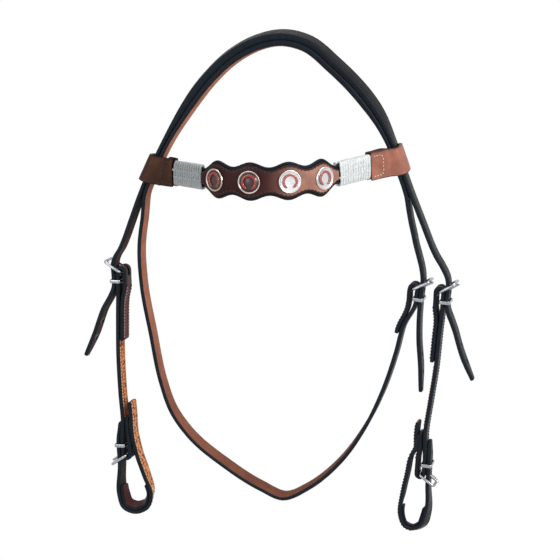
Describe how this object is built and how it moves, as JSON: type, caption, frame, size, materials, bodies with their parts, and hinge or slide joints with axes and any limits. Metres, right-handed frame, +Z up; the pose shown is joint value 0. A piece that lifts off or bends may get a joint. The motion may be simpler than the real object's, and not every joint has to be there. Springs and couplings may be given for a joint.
{
  "type": "western headstall",
  "caption": "Western browband headstall: crown and throat straps, cheek straps with wire buckles, bit loops, and a scalloped browband with horseshoe conchos and rawhide lacing.",
  "frame": {"origin": "the middle of the level face under the throat strap, at the top of the head, where the headstall hangs from a peg or lies on the horse's poll", "axes": "+Z up along the length, +X across the head towards the end where the throat strap buckles, -Y towards the browband and the viewer; the straps' widths are turned 16 degrees about Z from +Y"},
  "size_m": [0.4154, 0.1169, 0.5388],
  "materials": {
    "black_leather": "smooth grain, oiled, light shine",
    "russet_leather": "smooth grain, oiled, light shine",
    "tan_leather": "satin, stitched",
    "brown_leather": "smooth grain, oiled, stitched edge",
    "backing_leather": "smooth grain, dyed edge",
    "rawhide": "hard, dry, translucent cord",
    "steel": "polished wire",
    "silver": "polished disc, nickel silver look",
    "red_enamel": "gloss enamel"
  },
  "bodies": {
    "headstall": {"crown_strap": "black_leather", "throat_strap": "black_leather", "left_cheek_strap": "russet_leather", "right_cheek_strap": "russet_leather", "left_bit_strap": "tan_leather", "right_bit_strap": "tan_leather", "left_bit_liner": "tan_leather", "right_bit_liner": "tan_leather", "browband_base": "backing_leather", "browband_cover": "brown_leather", "left_browband_loop": "brown_leather", "right_browband_loop": "brown_leather", "left_rawhide_lacing": "rawhide", "right_rawhide_lacing": "rawhide", "left_cheek_buckle_frame": "steel", "right_cheek_buckle_frame": "steel", "throat_buckle_frame": "steel", "left_bit_buckle_frame": "steel", "right_bit_buckle_frame": "steel", "concho_1": "silver", "concho_1_horseshoe": "red_enamel", "concho_1_screw": "steel", "concho_2": "silver", "concho_2_horseshoe": "red_enamel", "concho_2_screw": "steel", "concho_3": "silver", "concho_3_horseshoe": "red_enamel", "concho_3_screw": "steel", "concho_4": "silver", "concho_4_horseshoe": "red_enamel", "concho_4_screw": "steel"},
    "left_cheek_buckle_tongue": {"left_cheek_buckle_tongue": "steel"},
    "left_cheek_keeper": {"left_cheek_keeper": "steel"},
    "right_cheek_buckle_tongue": {"right_cheek_buckle_tongue": "steel"},
    "right_cheek_keeper": {"right_cheek_keeper": "steel"},
    "throat_buckle_tongue": {"throat_buckle_tongue": "steel"},
    "throat_keeper": {"throat_keeper": "steel"},
    "left_bit_buckle_tongue": {"left_bit_buckle_tongue": "steel"},
    "left_bit_keeper": {"left_bit_keeper": "steel"},
    "right_bit_buckle_tongue": {"right_bit_buckle_tongue": "steel"},
    "right_bit_keeper": {"right_bit_keeper": "steel"}
  },
  "joints": [
    {"name": "left_cheek_tongue_hinge", "type": "hinge", "parent": "headstall", "child": "left_cheek_buckle_tongue", "pos_m": [-0.16634, 0, -0.23424], "axis": [-0.2756, -0.9613, 0], "range_deg": [0, 8]},
    {"name": "left_cheek_keeper_slide", "type": "slide", "parent": "headstall", "child": "left_cheek_keeper", "axis": [0.0192, -0.0055, -0.9998], "range_m": [-0.0022, 0.0025]},
    {"name": "right_cheek_tongue_hinge", "type": "hinge", "parent": "headstall", "child": "right_cheek_buckle_tongue", "pos_m": [0.16684, 0, -0.25624], "axis": [0.2756, 0.9613, 0], "range_deg": [0, 8]},
    {"name": "right_cheek_keeper_slide", "type": "slide", "parent": "headstall", "child": "right_cheek_keeper", "axis": [-0.0384, 0.011, -0.9992], "range_m": [-0.0022, 0.0025]},
    {"name": "throat_tongue_hinge", "type": "hinge", "parent": "headstall", "child": "throat_buckle_tongue", "pos_m": [0.13948, 0, -0.25274], "axis": [0.2756, 0.9613, 0], "range_deg": [0, 8]},
    {"name": "throat_keeper_slide", "type": "slide", "parent": "headstall", "child": "throat_keeper", "axis": [-0.0956, 0.0274, -0.995], "range_m": [-0.0022, 0.0025]},
    {"name": "left_bit_tongue_hinge", "type": "hinge", "parent": "headstall", "child": "left_bit_buckle_tongue", "pos_m": [-0.16454, 0, -0.43474], "axis": [0.2756, 0.9613, 0], "range_deg": [0, 8]},
    {"name": "left_bit_keeper_slide", "type": "slide", "parent": "headstall", "child": "left_bit_keeper", "axis": [-0.048, 0.0138, 0.9988], "range_m": [-0.0022, 0.0025]},
    {"name": "right_bit_tongue_hinge", "type": "hinge", "parent": "headstall", "child": "right_bit_buckle_tongue", "pos_m": [0.15028, 0, -0.45624], "axis": [-0.2756, -0.9613, 0], "range_deg": [0, 8]},
    {"name": "right_bit_keeper_slide", "type": "slide", "parent": "headstall", "child": "right_bit_keeper", "axis": [0.048, -0.0138, 0.9988], "range_m": [-0.0022, 0.0025]}
  ]
}
